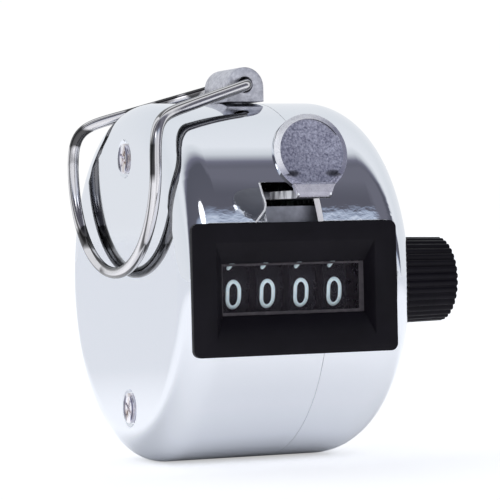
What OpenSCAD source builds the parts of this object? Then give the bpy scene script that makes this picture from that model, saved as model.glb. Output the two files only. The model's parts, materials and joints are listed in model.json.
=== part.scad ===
// Hand tally counter
//
// A four-digit counter in a round metal casing, held in the palm by a finger ring. Pressing the
// thumb lever adds one, and the knob on the right turns every wheel back to nought.
//
// Millimetres. The origin is the middle of the casing drum. X runs along the drum's axis, towards
// the reset knob; the window faces -Y and the ring lug is on top, at +Z.

/* [Casing] */

// Radius of the drum
drum_r = 25; // [22:0.5:28]
// Width of the drum, from side to side
drum_w = 34.5; // [32:0.5:40]
// Thickness of the casing's sheet metal
wall = 0.9; // [0.6:0.1:1.2]
// Rounding of the left edge
left_round = 4.9; // [3:0.1:8]
// Rounding of the right edge
right_round = 7.2; // [3:0.1:8]
// Where the side cover meets the main casing, from the middle
seam_x = 2.6; // [0:0.1:6]

/* [Window frame] */

// Width of the plastic frame
frame_w = 29.6; // [26:0.1:30]
// Height of the plastic frame
frame_h = 17.6; // [14:0.1:20]
// Distance of the frame's front from the drum's axis
frame_front = 24.3; // [23.5:0.1:25.5]
// Width of the clear window
window_w = 20.8; // [18:0.1:22]
// Height of the clear window
window_h = 6.95; // [5:0.05:9]

/* [Number wheels] */

// Radius of the number wheels
wheel_r = 8.5; // [8.4:0.05:8.6]
// Distance between neighbouring wheels
wheel_pitch = 4.93; // [4.8:0.01:5.1]
// Width of a wheel's printed rim
rim_w = 3.5; // [3:0.05:3.6]
// Radius of the reset shaft
shaft_r = 1.5; // [1.2:0.05:1.6]

/* [Thumb lever] */

// Radius of the thumb pad
pad_r = 5.25; // [4:0.05:6]
// Height of the pad's middle above the drum's axis
pad_z = 17.05; // [16:0.05:18]
// Angle the pad leans back
pad_lean = 11; // [0:1:20]
// Thickness of the lever's sheet metal
lever_t = 1.05; // [0.8:0.05:1.4]

/* [Ring and knob] */

// Radius of the ring's wire
wire_r = 0.8; // [0.5:0.05:0.9]
// Radius of the finger loop, to the middle of the wire
loop_r = 16.7; // [14:0.1:18]
// Radius of the knob, over its ridges
knob_r = 6.1; // [5:0.05:7]
// Length of the knob
knob_l = 8.5; // [6:0.05:12]
// Number of ridges round the knob
knob_ridges = 36; // [24:2:48]

/* [Hidden] */

$fn = 96;

half_w = drum_w / 2;
inner_r = drum_r - wall;
inner_x = half_w - wall;

// clearances: between pieces that don't move on each other, and round a shaft
gap = 0.05;
running = 0.06;

// the opening for the window frame
frame_x = -1.8;
frame_z = -0.75;
frame_back = 20;
window_x = -1.4;
window_z = -0.78;
corner_r = 1;

// the frame's front is a lip that stands over the casing on the left, above and below
lip_t = 0.9;
lip_side = 1.6;
lip_edge = 0.9;
lip_back = frame_front - lip_t;

// the slot for the lever is a notch in the main casing's rim, closed by the side cover
slot_x0 = -5.6;
slot_top = 13.4;

// the number wheels' shaft, and the four wheels along it
shaft_y = -11.3;
shaft_z = -0.4;
units_x = 5.85;
tens_x = units_x - wheel_pitch;
hundreds_x = units_x - 2 * wheel_pitch;
thousands_x = units_x - 3 * wheel_pitch;
hub_r = 2.6;
recess_r = 5.5;
pawl_post = [3.3, 2.7];

// the gears that carry from wheel to wheel
gear_w = 0.65;
gear_teeth = 20;
pinion_teeth = 8;
gear_distance = 10.5;
gear_angle = -35;
pinion_y = shaft_y + gear_distance * cos(gear_angle);
pinion_z = shaft_z + gear_distance * sin(gear_angle);
pinion_w = wheel_pitch - rim_w - 0.13;
pinion_shaft_r = 0.8;

// the ratchet on the units wheel
ratchet_x = units_x + rim_w / 2;
ratchet_w = 1;
ratchet_r = 3.6;

// the frame that holds the works
plate_t = 1;
left_plate_x = -13;
right_plate_x = 10.6;
bay_x0 = left_plate_x + plate_t;
bay_w = right_plate_x - bay_x0;
post_y = -1.1;
post_z = 17.3;
post_r = 1.8;
screw_r = 0.95;
bridge_top = 2;
spring_x = -0.3;
spring_y = 1;

// the lever turns on a pin behind the wheels
pivot_y = 8;
pivot_z = 12.5;
pivot_r = 1;
strip_x0 = -3.6;
strip_w = 4.9;
strip_z = 11.1;
pad_y = -28;
arm_x0 = -10.5;
arm_x1 = 9.9;
pawl_y = -16;
pawl_z = 8.8;
pawl_pin_r = 0.6;

// the ring's wire passes through the lug
lug_x = -0.15;
lug_y = -0.15;
lug_r = 2.8;
lug_l = 8.3;
lug_top = 29.9;
stem_r = 1.8;
eye_z = 27.45;
eye_r = 1.1;

knob_x = half_w + 0.3;
bush_r = 3;

chrome = [0.86, 0.88, 0.9];
steel = [0.7, 0.71, 0.72];
zinc = [0.6, 0.6, 0.63];
brass = [0.78, 0.65, 0.35];
black = [0.1, 0.1, 0.11];
nylon = [0.88, 0.88, 0.84];
clear = [0.8, 0.88, 0.92, 0.4];

// ---- helpers ----

// a flat outline drawn in Y and Z, as a slab from x along X
module slab(x, w) {
    translate([x, 0, 0])
        rotate([90, 0, 90])
            linear_extrude(w)
                children();
}

// a round bar along X
module bar(x, w, r, y = 0, z = 0) {
    translate([x, y, z])
        rotate([0, 90, 0])
            cylinder(h = w, r = r);
}

// a box from one corner to the other
module block(a, b) {
    translate(a)
        cube(b - a);
}

// a rectangle with round corners, centred on the origin
module round_rect(w, h, r) {
    square([w - 2 * r, h], center = true);
    square([w, h - 2 * r], center = true);
    for (x = [-1, 1], y = [-1, 1])
        translate([x * (w / 2 - r), y * (h / 2 - r)])
            circle(r, $fn = 32);
}

// the window frame's outline in X and Z, from one depth to another towards -Y
module frame_block(x, w, h, back, front) {
    translate([x, -back, frame_z])
        rotate([90, 0, 0])
            linear_extrude(front - back)
                round_rect(w, h, corner_r);
}

// the frame's lip, out to one depth
module frame_lip(grow, front) {
    frame_block(frame_x, frame_w + 2 * grow, frame_h + 2 * grow, lip_back - grow, front);
}

// the frame's body behind the lip
module frame_body(grow, back, front) {
    frame_block(frame_x + lip_side / 2, frame_w - lip_side + 2 * grow,
                frame_h - 2 * lip_edge + 2 * grow, back, front);
}

// half the section of a drum with one round edge at the bottom: x is the radius, y the length
module drum_section(r, l, edge) {
    translate([0, edge])
        square([r, l - edge]);
    square([r - edge, edge]);
    translate([r - edge, edge])
        circle(edge);
}

module drum(r, l, edge) {
    rotate_extrude($fn = 180)
        intersection() {
            drum_section(r, l, edge);
            square([r, l]);
        }
}

// a tooth outline for a wheel of n teeth: half angles at root, pitch and tip
function teeth(n, root, pitch, tip, a_root, a_pitch, a_tip) = [
    for (i = [0 : n - 1], k = [[root, -a_root], [pitch, -a_pitch], [tip, -a_tip],
                               [tip, a_tip], [pitch, a_pitch], [root, a_root]])
        k[0] * [cos(360 / n * i + k[1]), sin(360 / n * i + k[1])]
];

// slanted teeth for a ratchet of n teeth
function ratchet_teeth(n, root, tip) = [
    for (i = [0 : n - 1], k = [[root, 0], [tip, 2], [tip, 6], [root, 33]])
        k[0] * [cos(360 / n * i + k[1]), sin(360 / n * i + k[1])]
];

// a wire of radius r swept through the points of a path; side is never along the path
module wire(path, r, side, sides = 12) {
    n = len(path);
    function unit(v) = v / norm(v);
    rings = [
        for (i = [0 : n - 1])
            let (t = unit(path[min(i + 1, n - 1)] - path[max(i - 1, 0)]),
                 u = unit(cross(t, side[i])),
                 v = cross(u, t))
                for (k = [0 : sides - 1])
                    path[i] + r * (cos(360 * k / sides) * u + sin(360 * k / sides) * v)
    ];
    skin = [
        for (i = [0 : n - 2], k = [0 : sides - 1])
            let (a = i * sides + k,
                 b = i * sides + (k + 1) % sides)
                [a, b, b + sides, a + sides]
    ];
    last = (n - 1) * sides;
    polyhedron(rings, concat(skin, [[for (k = [0 : sides - 1]) sides - 1 - k]],
                             [[for (k = [0 : sides - 1]) last + k]]));
}

// points of a cubic curve from a to d, without its last point
function curve(a, b, c, d, n) = [
    for (i = [0 : n - 1])
        let (t = i / n, s = 1 - t)
            s * s * s * a + 3 * s * s * t * b + 3 * s * t * t * c + t * t * t * d
];

// ---- casing ----

module casing_openings() {
    // window frame
    frame_lip(gap, drum_r + 1);
    frame_body(gap, frame_back - 0.2, drum_r + 1);
    // thumb lever
    block([slot_x0, -drum_r - 1, frame_z + frame_h / 2 - 1], [seam_x + 0.01, -18, slot_top]);
}

module main_casing() {
    color(chrome)
        difference() {
            translate([-half_w, 0, 0])
                rotate([0, 90, 0])
                    drum(drum_r, half_w + seam_x - gap, left_round);
            translate([-inner_x, 0, 0])
                rotate([0, 90, 0])
                    drum(inner_r, drum_w, left_round - wall);
            casing_openings();
            // dimples and holes for the screws
            for (s = [-1, 1]) {
                bar(-half_w - 1, 3, screw_r + 3 * gap, post_y, s * post_z);
                translate([-half_w - 0.01, post_y, s * post_z])
                    rotate([0, 90, 0])
                        cylinder(h = 0.45, r1 = 2.7, r2 = 2.25);
            }
            // hole for the ring lug's stem
            translate([lug_x, lug_y, inner_r - 2])
                cylinder(h = 4, r = stem_r + gap);
        }
}

module side_cover() {
    color(chrome)
        difference() {
            union() {
                translate([half_w, 0, 0])
                    rotate([0, -90, 0])
                        drum(drum_r, half_w - seam_x, right_round);
                bar(seam_x - 2, 4, inner_r - gap);
            }
            translate([inner_x, 0, 0])
                rotate([0, -90, 0])
                    drum(inner_r, half_w - seam_x - 1, right_round - wall);
            bar(seam_x - 3, 8, inner_r - 0.75);
            casing_openings();
            block([seam_x - 3, -drum_r - 1, -12], [seam_x + 0.01, -18, slot_top + 2]);
            // clearance for the lever and the lug's washer
            block([seam_x - 3, -8, 20], [seam_x + 0.01, 8, drum_r]);
            bar(inner_x - 1, 3, shaft_r + 2 * running, shaft_y, shaft_z);
        }
}

module casing_screws() {
    color(steel)
        for (s = [-1, 1])
            difference() {
                union() {
                    bar(-half_w - 0.2, 0.62, 2.1, post_y, s * post_z);
                    bar(-half_w + 0.4, 5, screw_r, post_y, s * post_z);
                }
                // cross slot
                for (a = [35, 125])
                    translate([-half_w - 0.3, post_y, s * post_z])
                        rotate([a, 0, 0])
                            block([0, -1.25, -0.22], [0.42, 1.25, 0.22]);
            }
}

module cover_posts() {
    color(steel)
        for (s = [-1, 1])
            difference() {
                bar(-inner_x, 2 * inner_x - 0.25, post_r, post_y, s * post_z);
                bar(-inner_x - 1, 7, screw_r + 0.02, post_y, s * post_z);
            }
}

// ---- window ----

module window_frame() {
    funnel = 1.8;
    mouth = [[-13.3, -7.3], [9.8, -7.3], [9.8, 5.5], [-13.3, 5.5]];
    throat = [for (k = [[-1, -1], [1, -1], [1, 1], [-1, 1]])
                 [window_x + k[0] * window_w / 2, window_z + k[1] * window_h / 2]];
    color(black)
        difference() {
            union() {
                frame_lip(0, frame_front);
                frame_body(0, frame_back, lip_back);
            }
            // opening that narrows towards the window
            polyhedron(
                concat([for (p = throat) [p[0], -frame_front + funnel, p[1]]],
                       [for (p = mouth) [p[0], -frame_front, p[1]]],
                       [for (p = mouth) [p[0], -frame_front - 1, p[1]]]),
                [[0, 1, 2, 3], [11, 10, 9, 8],
                 [4, 5, 1, 0], [5, 6, 2, 1], [6, 7, 3, 2], [7, 4, 0, 3],
                 [8, 9, 5, 4], [9, 10, 6, 5], [10, 11, 7, 6], [11, 8, 4, 7]]);
            block([throat[0][0], -frame_front - 1, throat[0][1]],
                  [throat[2][0], -frame_back + 1, throat[2][1]]);
            // seat for the lens
            block([-13.2, -21.4, -5.2], [10.1, -frame_back + 1, 4]);
        }
}

module window_lens() {
    color(clear)
        union() {
            block([-13.1, -21.4, -5.1], [10, -20.6, 3.9]);
            // raised front that fills the window
            block([window_x - window_w / 2 + gap, -22.3, window_z - window_h / 2 + gap],
                  [window_x + window_w / 2 - gap, -21.4, window_z + window_h / 2 - gap]);
        }
}

// ---- ring and lug ----

module ring_lug() {
    spring_z = lug_top - lug_r;
    color(zinc)
        difference() {
            union() {
                difference() {
                    translate([lug_x, lug_y + lug_l / 2, spring_z])
                        rotate([90, 0, 0])
                            cylinder(h = lug_l, r = lug_r, $fn = 64);
                    // flat foot
                    block([lug_x - 2 * lug_r, lug_y - lug_l, drum_r - lug_r],
                          [lug_x + 2 * lug_r, lug_y + lug_l, drum_r + gap]);
                }
                block([lug_x - lug_r, lug_y - lug_l / 2, drum_r + gap],
                      [lug_x + lug_r, lug_y + lug_l / 2, spring_z]);
                translate([lug_x, lug_y, 22.4])
                    cylinder(h = 3, r = stem_r);
            }
            translate([lug_x, lug_y + lug_l, eye_z])
                rotate([90, 0, 0])
                    cylinder(h = 2 * lug_l, r = eye_r, $fn = 48);
        }
}

module lug_washer() {
    color(steel)
        translate([lug_x, lug_y, 22.9])
            difference() {
                cylinder(h = 0.9, r = 2.7);
                translate([0, 0, -1])
                    cylinder(h = 3, r = stem_r);
            }
}

module finger_ring() {
    // the loop's lower half is a little flatter than a circle
    loop_x = -18.8;
    loop_y = -0.65;
    loop_z = 16.2;
    loop_h = loop_r - 2;
    pull = 6.5;
    shoulder = [-20.2, 21.7];
    front_y = -16.8;
    back_y = 13.9;
    eye_y = 5.4;
    start = [lug_x, -1.6, eye_z];
    bend = [lug_x, -eye_y, eye_z];
    tip = [shoulder[0], front_y, shoulder[1]];
    away = (tip - bend) / norm(tip - bend);
    front = [loop_x, loop_y - loop_r, loop_z];
    back = [loop_x, loop_y + loop_r, loop_z];
    bend_b = [lug_x, eye_y, eye_z];
    tip_b = [shoulder[0], back_y, shoulder[1]];
    away_b = (tip_b - bend_b) / norm(tip_b - bend_b);
    start_b = [lug_x, 1.6, eye_z];
    up = [0, 0, 1];
    path = concat(
        [start],
        curve(bend + [0, 1.5, 0], bend + [0, 0.3, 0], bend + 0.3 * away, bend + 1.5 * away, 8),
        curve(bend + 13 * away, bend + 20 * away, front + pull * up, front, 16),
        [for (i = [0 : 35])
            let (t = 180 * i / 36)
                [loop_x, loop_y - loop_r * cos(t), loop_z - loop_h * sin(t)]],
        curve(back, back + pull * up, bend_b + 20 * away_b, bend_b + 13 * away_b, 16),
        curve(bend_b + 13 * away_b, bend_b + 9 * away_b, bend_b + 5 * away_b,
              bend_b + 1.5 * away_b, 2),
        curve(bend_b + 1.5 * away_b, bend_b + 0.3 * away_b, bend_b - [0, 0.3, 0],
              bend_b - [0, 1.5, 0], 8),
        [bend_b - [0, 1.5, 0], start_b]);
    color(steel)
        wire(path, wire_r, [for (p = path) [0.35, 0, 1]]);
}

// ---- frame ----

module frame_plate(x) {
    color(steel)
        difference() {
            union() {
                slab(x, plate_t)
                    polygon([[-19, -8], [-19, 4], [-14, 9.4], [-6, 10.4], [-4.2, 15.5],
                             [post_y, 18.5], [2, 17], [11.5, 15], [11.5, 1.5], [6, -3],
                             [6, -12], [2, -17], [post_y, -18.5], [-5, -16.9],
                             [-15.5, -13.6]]);
                for (s = [-1, 1])
                    bar(x, plate_t, 3.2, post_y, s * post_z);
            }
            for (s = [-1, 1])
                bar(x - 1, plate_t + 2, post_r + gap, post_y, s * post_z);
            bar(x - 1, plate_t + 2, shaft_r + running, shaft_y, shaft_z);
            bar(x - 1, plate_t + 2, pinion_shaft_r, pinion_y, pinion_z);
            bar(x - 1, plate_t + 2, pivot_r, pivot_y, pivot_z);
        }
}

module frame_plate_left() {
    frame_plate(left_plate_x);
}

module frame_plate_right() {
    frame_plate(right_plate_x);
}

module frame_pillars() {
    color(steel)
        for (p = [[-13, -11.6], [3.5, -9.5], [9, 4]])
            bar(bay_x0, bay_w, 1.3, p[0], p[1]);
}

module spring_bridge() {
    color(steel)
        union() {
            block([bay_x0, -1, bridge_top - 1], [right_plate_x, 4, bridge_top]);
            // peg inside the spring
            translate([spring_x, spring_y, bridge_top])
                cylinder(h = 1.6, r = 1.4, $fn = 40);
        }
}

module pinion_shaft() {
    color(steel)
        bar(left_plate_x - 0.3, right_plate_x + plate_t - left_plate_x + 0.6, pinion_shaft_r,
            pinion_y, pinion_z);
}

// ---- thumb lever ----

module thumb_lever() {
    arm = [[-12, strip_z], [8, 9.9], [8, 15.1], [-2, 13.6], [-12, strip_z + lever_t]];
    hanger = [[-20.2, strip_z], [-17.4, 7.9], [-16, 7.2], [-14.6, 7.9], [-12, strip_z],
              [-12, strip_z + lever_t], [-20.2, strip_z + lever_t]];
    foot_y = pad_y - pad_r * sin(pad_lean) - 0.1;
    color(chrome)
        difference() {
            union() {
                // round pad, leaning back
                translate([strip_x0 + strip_w / 2, pad_y, pad_z])
                    rotate([90 - pad_lean, 0, 0])
                        cylinder(h = lever_t + 0.15, r = pad_r, center = true);
                // strip that runs back through the slot
                slab(strip_x0, strip_w)
                    union() {
                        polygon([[foot_y + 0.6, strip_z], [-19, strip_z],
                                 [-19, strip_z + lever_t], [foot_y + 1.2, strip_z + lever_t],
                                 [foot_y + 1.15, strip_z + 2.6], [foot_y - 0.02, strip_z + 2.4],
                                 [foot_y - 0.2, strip_z + 0.8]]);
                        translate([foot_y + 0.6, strip_z + 0.8])
                            circle(0.8, $fn = 32);
                    }
                block([arm_x0, -20.2, strip_z], [arm_x1, 3, strip_z + lever_t]);
                // arms down to the pivot
                for (x = [arm_x0, arm_x1 - 1])
                    slab(x, 1) {
                        polygon(arm);
                        translate([pivot_y, pivot_z])
                            circle(2.6, $fn = 48);
                    }
                slab(arm_x1 - 1, 1)
                    polygon(hanger);
            }
            // shallow dish with a flat foot
            translate([strip_x0 + strip_w / 2, pad_y, pad_z])
                rotate([90 - pad_lean, 0, 0])
                    translate([0, 0, lever_t / 2 - 0.3])
                        intersection() {
                            cylinder(h = 1, r = pad_r - 0.75);
                            translate([-pad_r, -4.1, 0])
                                cube([2 * pad_r, 10, 1]);
                        }
            bar(arm_x0 - 1, 30, pivot_r + running, pivot_y, pivot_z);
            bar(arm_x1 - 2, 3, pawl_pin_r, pawl_y, pawl_z);
            // room over the units wheel for the pawl and its spring
            block([7.5, -18.6, strip_z - 1], [arm_x1 - 1, -13.6, strip_z + 2]);
        }
}

module lever_shield() {
    low = 7;
    high = 10.2;
    color(zinc) {
        block([-8.5, -19.6, low], [5.5, -19, high]);
        for (x = [-8.5, 3.4])
            block([x, -19.6, high - gap], [x + 2.1, -19, strip_z]);
    }
}

module lever_pivot_pin() {
    color(steel)
        bar(left_plate_x - 0.9, right_plate_x + plate_t - left_plate_x + 1.8, pivot_r,
            pivot_y, pivot_z);
}

module pivot_clips() {
    color(steel)
        for (x = [left_plate_x - 0.6, right_plate_x + plate_t + 0.1])
            slab(x, 0.5)
                difference() {
                    translate([pivot_y, pivot_z])
                        circle(2.1, $fn = 48);
                    translate([pivot_y, pivot_z])
                        circle(pivot_r, $fn = 32);
                }
}

module return_spring() {
    r = 0.28;
    coil_r = 2;
    turns = 6;
    steps = 14;
    z0 = bridge_top + r + 0.02;
    z1 = strip_z - r - 0.02;
    path = [for (i = [0 : turns * steps])
                let (a = 360 * i / steps, f = i / (turns * steps))
                    [spring_x + coil_r * cos(a), spring_y + coil_r * sin(a), z0 + (z1 - z0) * f]];
    color(steel)
        wire(path, r, [for (p = path) [0, 0, 1]], 6);
}

module drive_pawl() {
    x = ratchet_x + 0.2;
    color(zinc)
        difference() {
            union() {
                bar(x, 0.7, 1.3, pawl_y, pawl_z);
                slab(x, 0.7)
                    polygon([[-16.8, pawl_z], [-15.2, pawl_z], [-15.45, 0.6], [-15.5, -0.4],
                             [-15, -0.9], [-15.05, -1.5], [-16.2, -2], [-16.75, -1]]);
            }
            bar(x - 1, 3, pawl_pin_r + gap, pawl_y, pawl_z);
        }
}

module pawl_pin() {
    color(steel)
        bar(ratchet_x + 0.1, arm_x1 - ratchet_x + 0.2, pawl_pin_r, pawl_y, pawl_z);
}

module pawl_spring() {
    color(steel)
        slab(ratchet_x + 0.25, 0.6)
            polygon([[-18.6, strip_z + 0.8], [-18.6, strip_z + 0.5], [-18.4, strip_z + 0.3],
                     [-17.85, 5], [-17.6, 5], [-18.15, strip_z + 0.4],
                     [-18.3, strip_z + 0.8]]);
}

module detent_spring() {
    x = ratchet_x + 0.2;
    color(steel)
        union() {
            slab(x, 0.7)
                polygon([[-1, 1.9], [-1, 1.5], [-7.1, -0.75], [-7.2, -0.4], [-2, 1.9]]);
            bar(x, 0.7, 0.38, -7.15, -0.5);
        }
}

// ---- number wheels ----

module wheel_body(x, left_end, right_end) {
    difference() {
        union() {
            bar(x - rim_w / 2, rim_w, wheel_r, shaft_y, shaft_z);
            bar(left_end, right_end - left_end, hub_r, shaft_y, shaft_z);
        }
        // recess for the reset pawl, round the hub
        difference() {
            bar(x - 0.45, rim_w, recess_r, shaft_y, shaft_z);
            bar(x - 2, rim_w + 2, hub_r, shaft_y, shaft_z);
        }
        bar(left_end - 1, right_end - left_end + 2, shaft_r + running, shaft_y, shaft_z);
        // window in the hub for the pawl's nose
        translate([0, shaft_y, shaft_z])
            block([x + 0.1, 0, -0.7], [x + 1.1, hub_r + 1, 0.7]);
    }
    // post for the pawl
    bar(x - 0.6, 2, 0.45, shaft_y + pawl_post[0], shaft_z + pawl_post[1]);
}

module carry_gear(x) {
    slab(x + rim_w / 2, gear_w)
        translate([shaft_y, shaft_z])
            difference() {
                rotate(gear_angle)
                    polygon(teeth(gear_teeth, 6.7, 7.5, 8.15, 5.6, 3.9, 2));
                circle(recess_r);
            }
}

// the two short teeth that pass the count on once a turn
module carry_sector(x) {
    slab(x - rim_w / 2 - gear_w, gear_w)
        translate([shaft_y, shaft_z])
            difference() {
                union() {
                    circle(6.2);
                    for (a = [50, 68])
                        rotate(a)
                            translate([6, -0.45])
                                square([0.85, 0.9]);
                }
                circle(hub_r - 0.5);
            }
}

module wheel_units() {
    color(black) {
        wheel_body(units_x, units_x - rim_w / 2 - gear_w, ratchet_x);
        carry_sector(units_x);
    }
}

module middle_wheel(x) {
    wheel_body(x, x - rim_w / 2 - gear_w, x + rim_w / 2 + gear_w);
    carry_sector(x);
    carry_gear(x);
}

module wheel_tens() {
    color(black)
        middle_wheel(tens_x);
}

module wheel_hundreds() {
    color(black)
        middle_wheel(hundreds_x);
}

module wheel_thousands() {
    color(black) {
        wheel_body(thousands_x, bay_x0 + 0.1, thousands_x + rim_w / 2 + gear_w);
        carry_gear(thousands_x);
    }
}

module reset_pawl(x) {
    color(brass)
        translate([x + 0.2, shaft_y, shaft_z])
            difference() {
                union() {
                    bar(0, 0.8, 0.95, pawl_post[0], pawl_post[1]);
                    slab(0, 0.8)
                        polygon([[1.6, -0.5], [1.6, 0.5], [2.7, 0.6], [2.5, 2.3], [4.15, 2.4],
                                 [3.7, -0.4]]);
                }
                bar(-1, 3, 0.5, pawl_post[0], pawl_post[1]);
            }
}

module reset_pawl_units() {
    reset_pawl(units_x);
}

module reset_pawl_tens() {
    reset_pawl(tens_x);
}

module reset_pawl_hundreds() {
    reset_pawl(hundreds_x);
}

module reset_pawl_thousands() {
    reset_pawl(thousands_x);
}

module ratchet_wheel() {
    color(black)
        difference() {
            union() {
                slab(ratchet_x, ratchet_w)
                    translate([shaft_y, shaft_z])
                        polygon(ratchet_teeth(10, 2.9, ratchet_r));
                bar(ratchet_x, right_plate_x - ratchet_x - 0.1, 2.4, shaft_y, shaft_z);
            }
            bar(ratchet_x - 1, 10, shaft_r + running, shaft_y, shaft_z);
        }
}

module carry_pinion(x) {
    color(nylon)
        slab(x + rim_w / 2 + 0.065, pinion_w)
            translate([pinion_y, pinion_z])
                difference() {
                    rotate(gear_angle + 180 + 180 / pinion_teeth)
                        polygon(teeth(pinion_teeth, 2.1, 3, 3.55, 12.5, 8.6, 3.4));
                    circle(pinion_shaft_r + gap, $fn = 32);
                }
}

module pinion_tens() {
    carry_pinion(tens_x);
}

module pinion_hundreds() {
    carry_pinion(hundreds_x);
}

module pinion_thousands() {
    carry_pinion(thousands_x);
}

// ---- reset shaft and knob ----

module reset_shaft() {
    end_x = knob_x + knob_l - 2.2;
    color(steel)
        difference() {
            bar(left_plate_x - 1.4, end_x - left_plate_x + 1.4, shaft_r, shaft_y, shaft_z);
            // groove that the reset pawls drop into
            translate([0, shaft_y, shaft_z])
                block([bay_x0 + 0.5, 0.95, -0.4], [ratchet_x, shaft_r + 1, 0.4]);
            // groove for the clip
            difference() {
                bar(left_plate_x - 0.9, 0.6, shaft_r + 1, shaft_y, shaft_z);
                bar(left_plate_x - 2, 4, shaft_r - 0.4, shaft_y, shaft_z);
            }
        }
}

module shaft_clip() {
    color(steel)
        slab(left_plate_x - 0.85, 0.5)
            translate([shaft_y, shaft_z])
                difference() {
                    circle(2.7, $fn = 48);
                    circle(shaft_r - 0.4, $fn = 48);
                    translate([-5, -0.9])
                        square([5, 1.8]);
                }
}

module shaft_collar() {
    color(brass)
        slab(right_plate_x + plate_t + 0.1, 1.4)
            translate([shaft_y, shaft_z])
                difference() {
                    circle(2.8, $fn = 48);
                    circle(shaft_r, $fn = 48);
                }
}

module knob_washer() {
    color(steel)
        slab(half_w, 0.2)
            translate([shaft_y, shaft_z])
                difference() {
                    circle(3.6, $fn = 64);
                    circle(shaft_r + 2 * running, $fn = 48);
                }
}

module knob_bush() {
    color(brass)
        difference() {
            bar(knob_x, knob_l - 2, bush_r, shaft_y, shaft_z);
            bar(knob_x - 1, knob_l - 1.2, shaft_r, shaft_y, shaft_z);
        }
}

module reset_knob() {
    valley_r = knob_r - 0.32;
    step = 360 / knob_ridges;
    ridges = [
        for (i = [0 : knob_ridges - 1], k = [[valley_r, 0], [knob_r, 0.32], [knob_r, 0.68]])
            k[0] * [cos((i + k[1]) * step), sin((i + k[1]) * step)]
    ];
    color(black)
        difference() {
            slab(knob_x, knob_l)
                translate([shaft_y, shaft_z])
                    polygon(ridges);
            bar(knob_x - 1, knob_l - 1, bush_r, shaft_y, shaft_z);
        }
}

main_casing();
side_cover();
window_frame();
window_lens();
casing_screws();
cover_posts();
ring_lug();
lug_washer();
finger_ring();
frame_plate_left();
frame_plate_right();
frame_pillars();
spring_bridge();
thumb_lever();
lever_shield();
lever_pivot_pin();
pivot_clips();
return_spring();
drive_pawl();
pawl_pin();
pawl_spring();
detent_spring();
reset_shaft();
shaft_clip();
shaft_collar();
knob_washer();
knob_bush();
reset_knob();
wheel_units();
wheel_tens();
wheel_hundreds();
wheel_thousands();
reset_pawl_units();
reset_pawl_tens();
reset_pawl_hundreds();
reset_pawl_thousands();
ratchet_wheel();
pinion_shaft();
pinion_tens();
pinion_hundreds();
pinion_thousands();
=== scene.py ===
import json
import math

import bmesh
import bpy
from mathutils import Matrix, Vector


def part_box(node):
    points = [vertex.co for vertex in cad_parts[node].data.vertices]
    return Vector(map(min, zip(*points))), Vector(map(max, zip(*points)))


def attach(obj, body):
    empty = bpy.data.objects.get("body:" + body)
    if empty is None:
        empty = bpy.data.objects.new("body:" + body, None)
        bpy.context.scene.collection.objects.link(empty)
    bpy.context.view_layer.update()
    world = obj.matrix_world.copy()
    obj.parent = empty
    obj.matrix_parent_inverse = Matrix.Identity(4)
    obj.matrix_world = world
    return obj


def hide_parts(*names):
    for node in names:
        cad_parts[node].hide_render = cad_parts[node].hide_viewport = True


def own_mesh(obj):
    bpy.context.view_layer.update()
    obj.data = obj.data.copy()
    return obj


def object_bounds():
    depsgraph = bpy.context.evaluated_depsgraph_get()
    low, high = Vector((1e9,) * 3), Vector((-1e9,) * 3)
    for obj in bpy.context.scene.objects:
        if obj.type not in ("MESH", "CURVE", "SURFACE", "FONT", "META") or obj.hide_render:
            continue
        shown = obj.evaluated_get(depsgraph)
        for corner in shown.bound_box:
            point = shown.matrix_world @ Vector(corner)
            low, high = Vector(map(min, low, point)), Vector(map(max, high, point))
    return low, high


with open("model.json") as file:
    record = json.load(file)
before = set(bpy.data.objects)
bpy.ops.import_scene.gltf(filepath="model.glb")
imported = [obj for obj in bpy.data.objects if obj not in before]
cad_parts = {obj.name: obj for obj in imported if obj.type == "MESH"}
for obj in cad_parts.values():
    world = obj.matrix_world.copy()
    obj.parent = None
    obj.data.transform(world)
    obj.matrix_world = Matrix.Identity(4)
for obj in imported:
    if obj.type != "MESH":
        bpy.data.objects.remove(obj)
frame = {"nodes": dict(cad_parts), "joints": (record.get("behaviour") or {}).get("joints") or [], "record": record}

CAD_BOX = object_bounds()
MM = 0.001
NODES = frame["nodes"]
JOINTS = {j["name"]: j for j in frame["joints"]}

# places and sizes in millimetres, as in the CAD
DRUM_R = CAD_BOX[1].y / MM
SEAM_X = 2.6                             # the side cover's edge, beside the lever's slot
SLOT_TOP = 13.4                          # upper edge of the lever's slot
SCREW = Vector((-17.45, -1.1, 17.3))     # middle of the upper screw in the left side
KNOB_DRAFT = 0.03                        # how much smaller the knob's front is than its back

# the thumb pad: its middle, how far it leans back, and its own outward and upward directions
PAD = Vector((-1.15, -28, 17.05))
PAD_LEAN = math.radians(11)
PAD_NORMAL = Vector((0, -math.cos(PAD_LEAN), math.sin(PAD_LEAN)))
PAD_UP = Vector((0, math.sin(PAD_LEAN), math.cos(PAD_LEAN)))
PAD_RIM = 4.3                            # faces further than this from its middle can be rim


# ---------------------------------------------------------------- materials

def set_stops(ramp, low, high, stops):
    """Puts (position, level or color) stops on a color ramp that covers low to high."""
    while len(ramp.elements) > 1:
        ramp.elements.remove(ramp.elements[-1])
    for i, (at, value) in enumerate(stops):
        where = (at - low) / (high - low)
        e = ramp.elements[0] if i == 0 else ramp.elements.new(where)
        e.position = where
        e.color = (*value, 1) if isinstance(value, tuple) else (value, value, value, 1)


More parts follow.
